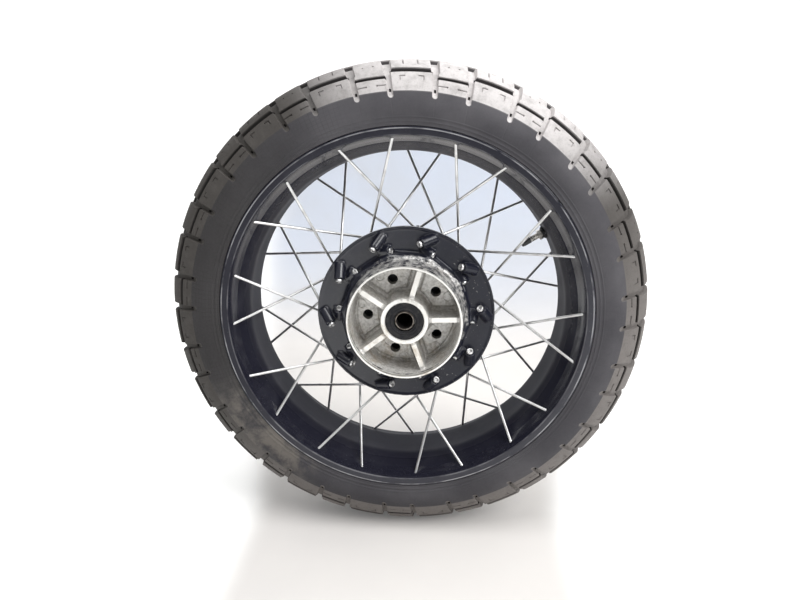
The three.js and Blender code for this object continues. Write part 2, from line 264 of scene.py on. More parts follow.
def shaped(rings, segments):
    """Vertices and faces of a solid along +Y from (radius, y, sides) rings; 0 sides is round."""
    vertices = []
    for radius, y, sides in rings:
        for i in range(segments):
            a = 2 * math.pi * i / segments
            r = radius
            if sides:
                half = math.pi / sides
                r = radius / math.cos((a + half) % (2 * half) - half)
            vertices.append((r * math.cos(a), y, r * math.sin(a)))
    faces = []
    for k in range(len(rings) - 1):
        for i in range(segments):
            j = (i + 1) % segments
            low, high = k * segments, (k + 1) * segments
            faces.append((low + i, high + i, high + j, low + j))
    faces.append(tuple(range(segments)))
    faces.append(tuple(reversed(range((len(rings) - 1) * segments, len(rings) * segments))))
    return vertices, faces


def bar(radius, start, end, sides, taper=None):
    """Vertices and faces of a closed round bar along +Y."""
    return shaped([(radius, start, 0), (radius if taper is None else taper, end, 0)], sides)


def hollow(rings, segments):
    """Like shaped, but the last ring closes on the first, which leaves a bore."""
    vertices, faces = shaped(rings, segments)
    faces = faces[:-2]
    last = (len(rings) - 1) * segments
    for i in range(segments):
        j = (i + 1) % segments
        faces.append((last + i, i, j, last + j))
    return vertices, faces


def turned_solid(outline, segments):
    """Vertices and faces of a solid that reaches the axis, from (radius, y) points."""
    return shaped([(radius, y, 0) for radius, y in outline], segments)


# ---------------------------------------------------------------- materials

class Surface:
    """A Principled material with short calls for the nodes that feed it."""

    def __init__(self, name, **sockets):
        self.material = bpy.data.materials.new(name)
        self.material.use_nodes = True
        self.tree = self.material.node_tree
        self.shader = self.tree.nodes["Principled BSDF"]
        for socket, value in sockets.items():
            self.shader.inputs[socket.replace("_", " ")].default_value = value

    def link(self, value, socket):
        if isinstance(value, bpy.types.NodeSocket):
            self.tree.links.new(value, socket)
        else:
            socket.default_value = value

    def set(self, socket, value):
        self.link(value, self.shader.inputs[socket])

    def node(self, kind, inputs=(), output=0, **settings):
        node = self.tree.nodes.new(kind)
        for key, value in settings.items():
            setattr(node, key, value)
        for key, value in dict(inputs).items():
            self.link(value, node.inputs[key])
        return node.outputs[output]

    def place(self):
        return self.node("ShaderNodeTexCoord", output="Object")

    def attribute(self, name):
        return self.node("ShaderNodeAttribute", output="Fac", attribute_name=name)

    def noise(self, scale, detail=3.0, roughness=0.55):
        return self.node("ShaderNodeTexNoise", {
            "Vector": self.place(), "Scale": scale, "Detail": detail, "Roughness": roughness})

    def math(self, operation, a, b=0.0, clamp=False):
        return self.node("ShaderNodeMath", {0: a, 1: b}, operation=operation, use_clamp=clamp)

    def ramp(self, value, low, high, to_low=0.0, to_high=1.0):
        return self.node("ShaderNodeMapRange", {
            "Value": value, "From Min": low, "From Max": high, "To Min": to_low, "To Max": to_high},
            interpolation_type="SMOOTHSTEP")

    def mix(self, factor, a, b):
        node = self.tree.nodes.new("ShaderNodeMix")
        node.data_type = "RGBA"
        self.link(factor, node.inputs[0])
        self.link(a, node.inputs[6])
        self.link(b, node.inputs[7])
        return node.outputs[2]

    def blend(self, factor, a, b):
        """A number between a and b."""
        return self.node("ShaderNodeMix", {0: factor, 2: a, 3: b})

    def bump(self, height, strength, distance, normal=None):
        inputs = {"Height": height, "Strength": strength, "Distance": distance}
        if normal is not None:
            inputs["Normal"] = normal
        return self.node("ShaderNodeBump", inputs)

    def axis(self, name):
        return self.node("ShaderNodeSeparateXYZ", {"Vector": self.place()}, output=name)

    def radius(self):
        """Distance from the axle line, in metres."""
        x, z = self.axis("X"), self.axis("Z")
        squares = self.math("ADD", self.math("MULTIPLY", x, x), self.math("MULTIPLY", z, z))
        return self.math("SQRT", squares)

    def edge_line(self, radius):
        """1 within about half a millimetre of a radius given in millimetres."""
        off = self.math("ABSOLUTE", self.math("SUBTRACT", self.radius(), radius * MM))
        return self.ramp(off, 0.9 * MM, 0.3 * MM)

    def mesh_lines(self, ring_step, degrees):
        """Faint lines round the wheel and across it, worn away in patches, as on a moulded sidewall."""
        angle = self.math("ARCTAN2", self.axis("Z"), self.axis("X"))
        lines = []
        for value, step in ((self.radius(), ring_step), (angle, math.radians(degrees))):
            part = self.math("FRACT", self.math("DIVIDE", value, step))
            off = self.math("ABSOLUTE", self.math("SUBTRACT", part, 0.5))
            lines.append(self.ramp(off, 0.38, 0.48))
        patches = self.ramp(self.noise(16.0, 4.0), 0.4, 0.62)
        return self.math("MULTIPLY", self.math("MAXIMUM", *lines), patches)

    def towards(self, degrees):
        """From -1 to 1: how far round the wheel a point lies towards an angle."""
        a = math.radians(degrees)
        along_x = self.math("MULTIPLY", self.axis("X"), math.cos(a))
        along_z = self.math("MULTIPLY", self.axis("Z"), math.sin(a))
        return self.math("DIVIDE", self.math("ADD", along_x, along_z), self.radius())


def rgb(r, g, b):
    return (r, g, b, 1.0)


def tyre_material():
    """Rubber: meshed sidewalls with painted shade on the left and mud at one place, and a tread with
    painted shade in its grooves and a painted highlight mixed with dust at the top.
    """
    s = Surface("tyre_rubber", Specular_IOR_Level=0.25)
    dark = s.attribute("dark")
    tread = s.attribute("tread")
    grain = s.noise(420.0, 5.0, 0.7)
    patches = s.ramp(s.noise(9.0, 4.0), 0.38, 0.7)
    side = s.mix(patches, rgb(0.052, 0.050, 0.056), rgb(0.084, 0.081, 0.088))
    hatch = s.mesh_lines(4.2 * MM, 1.3)
    hatch = s.math("MULTIPLY", hatch, s.ramp(s.towards(172.0), 0.1, 0.8, 0.0, 0.34))
    side = s.mix(hatch, side, rgb(0.022, 0.020, 0.020))
    # Painted shade: the sidewall is painted darker towards the left.
    shade = s.ramp(s.towards(172.0), 0.35, 0.95, 0.0, 0.7)
    side = s.mix(shade, side, rgb(0.026, 0.024, 0.023))
    mud_place = s.ramp(s.towards(221.0), 0.92, 0.99)
    mud = s.math("MULTIPLY", mud_place, s.ramp(s.noise(34.0, 6.0, 0.7), 0.36, 0.62))
    side = s.mix(s.math("MULTIPLY", mud, 0.85), side, rgb(0.150, 0.135, 0.120))
    # Painted highlight mixed with dust: the tread, grooves too, is painted much paler towards the top.
    dust_and_highlight = s.ramp(s.towards(74.0), 0.70, 0.99)
    low = s.ramp(s.towards(300.0), -0.2, 0.7)
    worn = s.mix(low, rgb(0.058, 0.053, 0.049), rgb(0.170, 0.156, 0.148))
    worn = s.mix(dust_and_highlight, worn, rgb(0.57, 0.545, 0.54))
    scuffs = s.ramp(s.noise(70.0, 6.0, 0.7), 0.42, 0.72)
    worn = s.mix(s.math("MULTIPLY", scuffs, 0.35), worn, rgb(0.10, 0.092, 0.086))
    worn = s.mix(s.math("MULTIPLY", s.ramp(grain, 0.5, 0.75), 0.25), worn, rgb(0.05, 0.047, 0.045))
    groove = s.mix(dust_and_highlight, rgb(0.022, 0.020, 0.019), rgb(0.085, 0.078, 0.080))
    # Painted shade in the grooves: the dark mark paints them darker than the rubber round them.
    face = s.mix(s.ramp(dark, 0.12, 0.75), worn, groove)
    s.set("Base Color", s.mix(tread, side, face))
    s.set("Roughness", s.ramp(grain, 0.2, 0.8, 0.62, 0.9))
    rough = s.bump(s.noise(1500.0, 2.0), 0.12, 0.0003)
    s.set("Normal", s.bump(grain, 0.2, 0.0008, rough))
    return s.material


def rim_material():
    """Gloss black paint with a film of dust, dull in the well. Its outer face carries a painted highlight
    mixed with edge wear along both edges, and a painted sheen mixed with haze towards the lower right.
    """
    s = Surface("rim_gloss_black", Specular_IOR_Level=0.22, Coat_Roughness=0.1)
    dust = s.ramp(s.noise(14.0, 6.0, 0.7), 0.45, 0.8)
    specks = s.ramp(s.noise(420.0, 2.0), 0.64, 0.78)
    dust = s.math("MULTIPLY", dust, 0.22)
    film = s.math("ADD", dust, s.math("MULTIPLY", specks, 0.25), clamp=True)
    face = s.ramp(s.math("ABSOLUTE", s.axis("Y")), 0.0602, 0.0612)
    # Painted highlight mixed with edge wear: a pale line along both edges of the outer face, stronger at
    # the outer edge.
    rubbed_and_highlight = s.math("MULTIPLY", s.edge_line(RIM_FACE_OUTER), 0.45)
    rubbed_and_highlight = s.math("ADD", rubbed_and_highlight, s.math("MULTIPLY", s.edge_line(RIM_FACE_INNER), 0.16))
    rubbed_and_highlight = s.math("MULTIPLY", rubbed_and_highlight, s.ramp(s.noise(25.0, 5.0), 0.35, 0.6))
    rubbed_and_highlight = s.math("MULTIPLY", rubbed_and_highlight, face)
    # Painted sheen mixed with dust haze: the outer face is painted paler towards the lower right.
    haze_and_sheen = s.math("MULTIPLY", face, s.ramp(s.towards(300.0), -0.3, 0.8, 0.02, 0.5))
    dust_and_sheen = s.math("ADD", film, haze_and_sheen, clamp=True)
    paint = s.mix(dust_and_sheen, rgb(0.012, 0.012, 0.020), rgb(0.068, 0.068, 0.078))
    s.set("Base Color", s.mix(rubbed_and_highlight, paint, rgb(0.62, 0.62, 0.64)))
    coat = s.math("MULTIPLY", s.ramp(s.axis("Y"), -0.0435, -0.0450), s.ramp(face, 0.0, 1.0, 0.6, 0.0))
    s.set("Coat Weight", coat)
    dull = s.ramp(s.axis("Y"), -0.040, -0.006)
    s.set("Roughness", s.blend(dull, s.ramp(film, 0.0, 0.45, 0.22, 0.45), 0.62))
    s.set("Normal", s.bump(s.noise(90.0, 3.0), 0.05, 0.0008))
    return s.material


def spoke_material():
    s = Surface("spoke_steel", Metallic=1.0)
    streak = s.noise(60.0, 4.0)
    s.set("Base Color", s.mix(s.ramp(streak, 0.4, 0.8), rgb(0.80, 0.80, 0.80), rgb(0.58, 0.57, 0.56)))
    s.set("Roughness", s.ramp(streak, 0.3, 0.7, 0.32, 0.44))
    s.set("Normal", s.bump(s.noise(900.0, 2.0), 0.04, 0.0002))
    return s.material


def hub_material():
    """Gloss black paint on cast aluminium, bare and stained in the cup and worn bare round the near boss,
    with a painted sheen: its coat is stronger towards the left.
    """
    s = Surface("hub_cast", Specular_IOR_Level=0.3, Coat_Roughness=0.12)
    bare_edge = s.math("ADD", s.attribute("bare"), s.ramp(s.noise(90.0, 6.0, 0.75), 0.3, 0.7, -0.28, 0.28))
    chips = s.ramp(s.noise(230.0, 4.0, 0.7), 0.64, 0.70)
    chips = s.math("MULTIPLY", chips, s.ramp(s.towards(-10.0), 0.1, 0.8))
    bare = s.math("MAXIMUM", s.ramp(bare_edge, 0.34, 0.82), s.math("MULTIPLY", chips, 0.4))
    machined = s.attribute("machined")
    stain = s.ramp(s.noise(38.0, 6.0, 0.68), 0.45, 0.75)
    low = s.ramp(s.towards(250.0), -0.1, 0.9)
    stained = s.math("MULTIPLY", stain, s.ramp(low, 0.0, 1.0, 0.25, 0.85))
    silver = s.mix(s.ramp(s.noise(300.0, 4.0), 0.35, 0.7), rgb(0.73, 0.72, 0.70), rgb(0.50, 0.49, 0.47))
    silver = s.mix(machined, silver, rgb(0.84, 0.83, 0.80))
    silver = s.mix(stained, silver, rgb(0.30, 0.225, 0.14))
    dust = s.ramp(s.noise(55.0, 6.0, 0.72), 0.48, 0.8)
    specks = s.ramp(s.noise(700.0, 3.0), 0.6, 0.78)
    dirt = s.math("ADD", s.math("MULTIPLY", dust, 0.2), s.math("MULTIPLY", specks, 0.2), clamp=True)
    paint = s.mix(dirt, rgb(0.009, 0.010, 0.019), rgb(0.078, 0.076, 0.078))
    s.set("Base Color", s.mix(bare, paint, silver))
    metal = s.blend(machined, s.ramp(stained, 0.2, 0.8, 0.55, 0.2), 0.85)
    s.set("Metallic", s.math("MULTIPLY", bare, metal))
    # Painted sheen: the coat is painted stronger towards the left and weaker towards the right.
    sheen = s.ramp(s.towards(170.0), -0.6, 0.7, 0.1, 0.7)
    s.set("Coat Weight", s.math("MULTIPLY", sheen, s.ramp(bare, 0.0, 0.5, 1.0, 0.0)))
    rough_paint = s.ramp(dirt, 0.0, 0.5, 0.30, 0.62)
    rough_metal = s.ramp(machined, 0.0, 1.0, 0.52, 0.30)
    s.set("Roughness", s.blend(bare, rough_paint, rough_metal))
    cast = s.bump(s.noise(520.0, 4.0, 0.6), 0.18, 0.0006)
    s.set("Normal", s.bump(s.noise(120.0, 3.0), 0.12, 0.0009, cast))
    return s.material


def plain_material(name, light, dark, low, high, metallic=1.0):
    s = Surface(name, Metallic=metallic)
    pattern = s.noise(240.0, 4.0)
    s.set("Base Color", s.mix(s.ramp(pattern, 0.35, 0.7), rgb(*light), rgb(*dark)))
    s.set("Roughness", s.ramp(pattern, 0.3, 0.7, low, high))
    s.set("Normal", s.bump(s.noise(960.0, 2.0), 0.06, 0.0003))
    return s.material


def turned_steel(name, light, dark, low, high):
    """Bright or greasy steel, with painted shade inside the axle bore, where it is painted nearly black."""
    s = Surface(name, Specular_IOR_Level=0.12)
    pattern = s.noise(240.0, 4.0)
    # Painted shade: surfaces inside the axle bore are painted nearly black, dull and not metallic.
    inside = s.ramp(s.radius(), 10.5 * MM, 10.15 * MM)
    steel = s.mix(s.ramp(pattern, 0.35, 0.7), rgb(*light), rgb(*dark))
    s.set("Base Color", s.mix(inside, steel, rgb(0.016, 0.014, 0.013)))
    s.set("Metallic", s.ramp(inside, 0.0, 1.0, 0.95, 0.0))
    s.set("Roughness", s.blend(inside, s.ramp(pattern, 0.3, 0.7, low, high), 0.85))
    s.set("Normal", s.bump(s.noise(960.0, 2.0), 0.06, 0.0003))
    return s.material


def seal_material():
    s = Surface("seal_rubber", Specular_IOR_Level=0.22)
    grime = s.noise(150.0, 5.0, 0.65)
    s.set("Base Color", s.mix(s.ramp(grime, 0.4, 0.75), rgb(0.012, 0.012, 0.015), rgb(0.040, 0.038, 0.037)))
    s.set("Roughness", s.ramp(grime, 0.3, 0.7, 0.42, 0.66))
    s.set("Normal", s.bump(s.noise(800.0, 3.0), 0.10, 0.0004))
    return s.material


def floor_material():
    """White paper that glows, with a painted shadow, a duller patch that widens behind the wheel: warm on
    the floor, bluish above.
    """
    s = Surface("pale_floor", Roughness=0.6, Specular_IOR_Level=0.2, Emission_Color=rgb(1.0, 1.0, 1.0))
    mottled = s.ramp(s.noise(2.2, 5.0), 0.35, 0.7)
    behind = s.ramp(s.axis("Y"), 0.5, 1.7)
    # Painted shadow: a duller patch under the wheel that widens further behind it; outside it the paper is
    # whiter.
    spread = s.math("ADD", 0.30, s.math("MULTIPLY", s.math("MAXIMUM", s.axis("Y"), 0.0), 0.38))
    height = s.math("ADD", s.axis("Z"), 0.30)
    squares = s.math("ADD", s.math("POWER", s.axis("X"), 2.0), s.math("POWER", height, 2.0))
    away = s.ramp(s.math("DIVIDE", s.math("SQRT", squares), spread), 0.60, 0.84)
    white = s.math("MAXIMUM", away, s.ramp(s.axis("Y"), -0.15, -0.6))
    floor = s.mix(mottled, rgb(0.64, 0.615, 0.59), rgb(0.56, 0.54, 0.525))
    wall = s.mix(mottled, rgb(0.54, 0.59, 0.69), rgb(0.52, 0.55, 0.61))
    s.set("Base Color", s.mix(white, s.mix(behind, floor, wall), rgb(0.82, 0.82, 0.81)))
    # Painted light: the paper glows, more outside the painted shadow than inside it.
    s.set("Emission Strength", s.ramp(white, 0.0, 1.0, 0.10, 0.36))
    s.set("Normal", s.bump(s.noise(40.0, 4.0), 0.03, 0.002))
    return s.material


TYRE = tyre_material()
RIM = rim_material()
SPOKE = spoke_material()
HUB = hub_material()
SEAL = seal_material()
STEEL = turned_steel("bearing_steel", (0.62, 0.61, 0.60), (0.40, 0.385, 0.37), 0.24, 0.42)
COLLAR = turned_steel("collar_steel", (0.30, 0.27, 0.24), (0.13, 0.11, 0.095), 0.38, 0.60)
NICKEL = plain_material("valve_nickel", (0.82, 0.81, 0.78), (0.55, 0.52, 0.48), 0.18, 0.34)
CAP = plain_material("cap_plastic", (0.060, 0.060, 0.064), (0.035, 0.035, 0.038), 0.4, 0.6, 0.0)


# ---------------------------------------------------------------- tyre

def smooth_curve(points, steps=10):
    """A curve through points, with a tangent at each taken from its neighbours."""
    p = np.asarray(points, float)
    p = np.vstack([2 * p[0] - p[1], p, 2 * p[-1] - p[-2]])
    t = np.linspace(0, 1, steps, endpoint=False)[:, None]
    pieces = []
    for a, b, c, d in zip(p, p[1:], p[2:], p[3:]):
        pieces.append(b + 0.5 * t * (c - a + t * (2 * a - 5 * b + 4 * c - d + t * (3 * (b - c) + d - a))))
    return np.vstack(pieces + [p[-2:-1]])


class Relief:
    """Cuts and ribs on a sheet of rubber, as boxes in degrees round the wheel and mm across it."""

    def __init__(self):
        self.boxes = []

    def add(self, kind, u0, u1, s0, s1, depth, fade=None):
        self.boxes.append((kind, u0, u1, s0, s1, depth, fade))

    def lines(self, axis):
        """Where the sheet needs vertices so that each box has a crisp, slightly rounded edge."""
        scale = MM_PER_DEGREE if axis == 0 else 1.0
        values = []
        for box in self.boxes:
            low, high = box[1 + 2 * axis], box[2 + 2 * axis]
            values += [low - OUTER_EDGE / scale, low, low + INNER_EDGE / scale]
            values += [high - INNER_EDGE / scale, high, high + OUTER_EDGE / scale]
        return values

    def depth(self, kinds, u, s):
        """Depth at every (s, u) pair of two lists, for boxes that repeat once a pitch."""
        total = np.zeros((len(s), len(u)))
        for kind, u0, u1, s0, s1, depth, fade in self.boxes:
            if kind not in kinds:
                continue
            middle, half = (u0 + u1) / 2, (u1 - u0) / 2 * MM_PER_DEGREE
            off = np.abs((u - middle + PITCH / 2) % PITCH - PITCH / 2) * MM_PER_DEGREE
            if fade is None:
                inside = np.minimum.outer(np.minimum(s - s0, s1 - s), half - off)
            else:
                below = np.maximum(s0 + half - s, 0)
                inside = np.minimum(half - np.hypot.outer(below, off), (s1 - s)[:, None])
            amount = np.clip((inside + OUTER_EDGE) / (OUTER_EDGE + INNER_EDGE), 0, 1)
            amount = amount * amount * (3 - 2 * amount)
            if fade is not None:
                amount = amount * np.clip((s - fade[0]) / (fade[1] - fade[0]), 0, 1)[:, None]
            total = np.maximum(total, amount * depth)
        return total


MM_PER_DEGREE = 5.0
OUTER_EDGE = 0.5
INNER_EDGE = 0.7


def tread_pattern():
    """One pitch of the tread: block A, a channel, block B and a channel."""
    relief = Relief()
    blocks = {"A": (0.0, 9.4), "B": (10.7, 17.65)}
    channels = [(9.4, 10.7), (17.65, PITCH)]
    shoulder_end = {"A": 23.0, "B": 15.0}
    inner_start = {"A": 29.0, "B": 18.5}
    inner_end, centre_start = 58.5, 63.5
    for u0, u1 in channels:
        middle = (u0 + u1) / 2
        relief.add("channel", u0, u1, -8.0, 29.0, 3.6, fade=(-10.0, 2.0))
        relief.add("channel", u0 - 0.3, u1 + 0.3, 23.0, inner_end + 1, 5.0)
        relief.add("groove", middle - 0.22, middle + 0.22, 0.3, 3.4, 7.0)
        relief.add("crease", middle - 0.05, middle + 0.05, -27.0, -7.5, 0.4)
    for name, (u0, u1) in blocks.items():
        relief.add("groove", u0 - 0.1, u1 + 0.1, shoulder_end[name], inner_start[name], 7.0)
    relief.add("groove", 0.0, PITCH, inner_end, centre_start, 7.0)
    for u in (4.7, 4.7 + PITCH / 2):
        relief.add("channel", u - 0.55, u + 0.55, inner_end, 80.0, 5.5)
        relief.add("groove", u + 4.3, u + 4.46, 68.0, 80.0, 3.5)
    b0, b1 = blocks["B"]
    for start, end, dot in ((b0, b0 + 2.2, b0 + 2.2), (b1 - 2.2, b1, b1 - 2.2)):
        relief.add("groove", start, end, 6.9, 7.6, 2.2)
        relief.add("groove", dot - 0.13, dot + 0.13, 6.6, 7.9, 3.0)
    for u in (b0 + 2.3, b1 - 2.3):
        relief.add("groove", u - 0.13, u + 0.13, 34.0, 35.3, 3.0)
    for corner, leg in ((2.0, 1.2), (7.4, -1.2)):
        relief.add("groove", min(corner, corner + leg), max(corner, corner + leg), 17.3, 18.0, 2.2)
        relief.add("groove", corner - 0.08, corner + 0.08, 12.4, 18.0, 2.2)
    for u in (3.1, 6.3):
        relief.add("groove", u - 0.08, u + 0.08, 36.0, 50.0, 3.0)
    return relief


def thinned(values, smallest, largest):
    """Sorted values with near doubles dropped and wide steps filled in."""
    kept = []
    for value in sorted(values):
        if kept and value - kept[-1] < smallest:
            continue
        if kept:
            count = math.ceil((value - kept[-1]) / largest)
            kept += [kept[-1] + (value - kept[-1]) * i / count for i in range(1, count)]
        kept.append(value)
    return np.array(kept)


def tyre_skin():
    curve = smooth_curve(TYRE_SECTION)
    arc = np.concatenate([[0.0], np.cumsum(np.linalg.norm(np.diff(curve, axis=0), axis=1))])
    edge = arc[np.argmin(np.abs(curve[:, 0] - TREAD_EDGE_RADIUS))]
    relief = tread_pattern()
    u_lines = np.array(relief.lines(0))
    u_lines = np.concatenate([u_lines, u_lines + FAR_SIDE_SHIFT]) % PITCH
    u = thinned(list(u_lines) + [0.0, PITCH], 0.09, 1.0)[:-1]
    s_bead = edge - arc[-1]
    ribs = [s_bead + value for value in SIDEWALL_RIBS]
    rib_lines = [r + d for r in ribs for d in (-RIB_HALF, -RIB_HALF / 3, RIB_HALF / 3, RIB_HALF)]
    shoulder_lines = [-6.8, -5.6, -4.4, -3.0, -1.5]
    s_lines = [v for v in relief.lines(1) if s_bead < v < edge] + rib_lines + shoulder_lines
    s = thinned(s_lines + [s_bead, edge], 0.22, 3.2)
    across = np.concatenate([-(edge - s), (edge - s)[::-1][1:]])
    s_all = edge - np.abs(across)
    radius = np.interp(np.abs(across), arc, curve[:, 0])
    y = np.sign(across) * np.interp(np.abs(across), arc, curve[:, 1])
    tangent_r = np.gradient(radius, across)
    tangent_y = np.gradient(y, across)
    length = np.hypot(tangent_r, tangent_y)
    normal_r, normal_y = tangent_y / length, -tangent_r / length
    near = across < 0

    def on_both_sides(kinds):
        near_depth = relief.depth(kinds, u, s_all)
        far_depth = relief.depth(kinds, u - FAR_SIDE_SHIFT, s_all)
        return np.where(near[:, None], near_depth, far_depth)

    channel = on_both_sides(("channel",))
    groove = on_both_sides(("groove",))
    rib = np.zeros(len(s_all))
    for place in ribs:
        rib = np.maximum(rib, RIB_HEIGHT * np.clip(1.5 - 1.5 * np.abs(s_all - place) / RIB_HALF, 0, 1))
    depth = np.maximum.reduce([channel, groove, on_both_sides(("crease",))]) - rib[:, None]
    # The dark mark is painted shade: the deeper a groove, the darker it is painted.
    dark = np.clip(groove / 3.0, 0, 1)
    tread = np.clip(np.maximum(s_all[:, None] / 0.6 + 0.5, channel / 0.8), 0, 1)

    columns = len(u) * PITCHES
    u_all = (u[None, :] + PITCH * np.arange(PITCHES)[:, None]).ravel()
    depth, dark, tread = (np.tile(a, (1, PITCHES)) for a in (depth, dark, tread))
    angle = np.radians(u_all[None, :] + TREAD_PHASE + TREAD_SLANT * across[:, None] / edge)
    r = radius[:, None] - depth * normal_r[:, None]
    yy = y[:, None] - depth * normal_y[:, None]
    outer = np.stack([r * np.cos(angle), yy, r * np.sin(angle)], axis=-1)
    liner = TYRE_LINER + [(lr, -ly) for lr, ly in reversed(TYRE_LINER)]
    base_angle = np.radians(u_all + TREAD_PHASE)
    inner = np.stack([
        np.stack([lr * np.cos(base_angle), np.full(columns, ly), lr * np.sin(base_angle)], axis=-1)
        for lr, ly in liner])
    points = np.concatenate([outer, inner])
    rows = len(points)
    index = np.arange(rows * columns).reshape(rows, columns)
    below = np.roll(index, -1, axis=0)
    quads = np.stack([index, below, np.roll(below, -1, axis=1), np.roll(index, -1, axis=1)], axis=-1)
    piece = sheet("tyre_rubber_skin", points.reshape(-1, 3), quads.reshape(-1, 4), TYRE)
    pad = np.zeros((len(inner), columns))
    mark(piece, "dark", np.concatenate([dark, pad]).ravel())
    mark(piece, "tread", np.concatenate([tread, pad]).ravel())
    return finish_piece(piece, ["tyre"])


def sheet(name, points, quads, material, sharp=40.0):
    """A mesh object from numpy vertices in millimetres and quads."""
    mesh = bpy.data.meshes.new(name)
    mesh.vertices.add(len(points))
    mesh.vertices.foreach_set("co", np.asarray(points * MM, np.float32).ravel())
    mesh.loops.add(quads.size)
    mesh.loops.foreach_set("vertex_index", quads.ravel().astype(np.int32))
    mesh.polygons.add(len(quads))
    mesh.polygons.foreach_set("loop_start", np.arange(0, quads.size, 4, dtype=np.int32))
    mesh.update(calc_edges=True)
    mesh.shade_smooth()
    mesh.set_sharp_from_angle(angle=math.radians(sharp))
    mesh.materials.append(material)
    piece = bpy.data.objects.new(name, mesh)
    bpy.context.scene.collection.objects.link(piece)
    return piece


def mark(piece, name, values):
    attribute = piece.data.attributes.new(name, "FLOAT", "POINT")
    attribute.data.foreach_set("value", np.asarray(values, np.float32))


tyre_skin()


# ---------------------------------------------------------------- spokes and their nipples

def spoke_axis(node):
    """A spoke's nipple seat, its direction and its length, from its CAD solid, in millimetres."""
    points = np.array([v.co for v in node.data.vertices]) / MM
    middle = points.mean(axis=0)
    direction = np.linalg.svd(points - middle)[2][0]
    reach = (points - middle) @ direction
    ends = [middle + direction * reach.min(), middle + direction * reach.max()]
    hub_end, rim_end = sorted(ends, key=lambda p: math.hypot(p[0], p[2]))
    total = float(np.linalg.norm(rim_end - hub_end))
    direction = Vector(rim_end - hub_end).normalized()
    seat = Vector(hub_end) + direction * NIPPLE_HEAD_LENGTH
    return seat, direction, total - NIPPLE_HEAD_LENGTH - SPOKE_HEAD_HEIGHT


def spoke_mesh(length):
    """A nipple with a hex socket, the thread that runs out of it, the rod and its head at the rim."""
    rings = [(0.6, -1.2, 6), (1.95, -1.2, 6), (2.0, -3.0, 6), (2.35, -3.45, 0), (3.1, -3.75, 0)]
    rings += [(3.9, -3.6, 0), (4.3, -3.1, 0), (4.4, -2.4, 0), (4.4, -0.9, 0), (4.1, -0.45, 0)]
    rings += [(3.0, -0.3, 0), (3.0, 18.8, 0), (2.7, 19.8, 0), (1.9, 20.0, 0), (1.72, 20.0, 0)]
    for turn in range(9):
        y = 20.3 + 0.7 * turn
        rings += [(1.7, y, 0), (1.45, y + 0.35, 0)]
    rings += [(1.7, 26.9, 0), (1.7, length / 2, 0), (1.7, length - 2.0, 0), (1.75, length, 0)]
    rings += [(2.7, length + 0.1, 0), (2.9, length + 0.5, 0), (2.9, length + 1.7, 0)]
    rings += [(2.5, length + 2.5, 0), (1.4, length + 2.95, 0), (0.3, length + 3.0, 0)]
    return shaped(rings, 24)


def spokes():
    meshes = {}
    for name in SPOKE_NAMES:
        seat, direction, length = spoke_axis(frame["nodes"][name])
        key = round(length)
        if key not in meshes:
            piece = new_object(f"laced_{name}", *spoke_mesh(length), SPOKE, 35.0)
            meshes[key] = outward(piece).data
            meshes[key].set_sharp_from_angle(angle=math.radians(35))
        else:
            piece = bpy.data.objects.new(f"laced_{name}", meshes[key])
            bpy.context.scene.collection.objects.link(piece)
        place = along(seat, direction)
        place.translation *= MM
        piece.matrix_world = place
        finish_piece(piece, [name])


spokes()


# ---------------------------------------------------------------- rim

def mirrored(half):
    return half + [(c[0], -c[1], *c[2:]) for c in reversed(half)]


def rim():
    outline = mirrored([
        (202.9, 17, 3), (218.3, 30, 2), (218.3, 33, 0.4), (217.6, 35, 0.4), (218.3, 37, 0.4),
        (218.3, 44.45, 0.6), (231.6, 44.45, 0.8), (232.3, 46, 0.8), (232.3, 49.4, 1.5), (227.6, 52.5, 1.5),
        (226.2, 54.5, 0.8), (226.2, 62.1, 0.3), (224.6, 62.8, 0.7), (216.7, 61.9, 1.0), (214.2, 55.6, 1.2),
        (212.6, 51.0, 1.4), (209.8, 44.0, 1.2), (208.9, 42.4, 0.8), (199.4, 23.0, 3.5), (198.9, 14.0, 2),
    ])
    piece = turned("rim_hoop", outline, 240, RIM, 34.0)
    cutters = []
    for name in SPOKE_NAMES:
        seat, direction, length = spoke_axis(frame["nodes"][name])
        place = along(seat, direction)
        cutters.append(moved(bar(2.0, length - 34, length + 30, 16), place))
        cutters.append(moved(bar(3.3, length - 0.2, length + 30, 16), place))
    valve = along(polar(WELL_RADIUS - 10, 0, VALVE_ANGLE), polar(1, 0, VALVE_ANGLE))
    cutters.append(moved(bar(4.3, 0, 30, 24), valve))
    for cutter in cutters:
        cut(piece, [cutter])
    piece.data.shade_smooth()
    piece.data.set_sharp_from_angle(angle=math.radians(34))
    return finish_piece(piece, ["rim"])


rim()


# ---------------------------------------------------------------- hub

def turn(degrees):
    """Rotation about the axle that adds to a polar angle."""
    return Matrix.Rotation(-math.radians(degrees), 4, "Y")


def slab(inner, outer, start, end):
    """Vertices and faces of a sharp ring, for trimming machined faces."""
    return revolve([(inner, start), (outer, start), (outer, end), (inner, end)], 160)


def prism(outline, bottom, top, grow=0.0):
    """Vertices and faces of an (x, z) outline between two heights, wider at the bottom by grow."""
    middle = Vector((sum(p[0] for p in outline), sum(p[1] for p in outline))) / len(outline)
    vertices = []
    for y, spread in ((bottom, grow), (top, 0.0)):
        for x, z in outline:
            away = (Vector((x, z)) - middle).normalized() * spread
            vertices.append((x + away.x, y, z + away.y))
    count = len(outline)
    faces = [(i, (i + 1) % count, count + (i + 1) % count, count + i) for i in range(count)]
    return vertices, faces + [tuple(range(count)), tuple(reversed(range(count, 2 * count)))]


def stations(part):
    return [moved(part, turn(360 / STATIONS * i)) for i in range(STATIONS)]


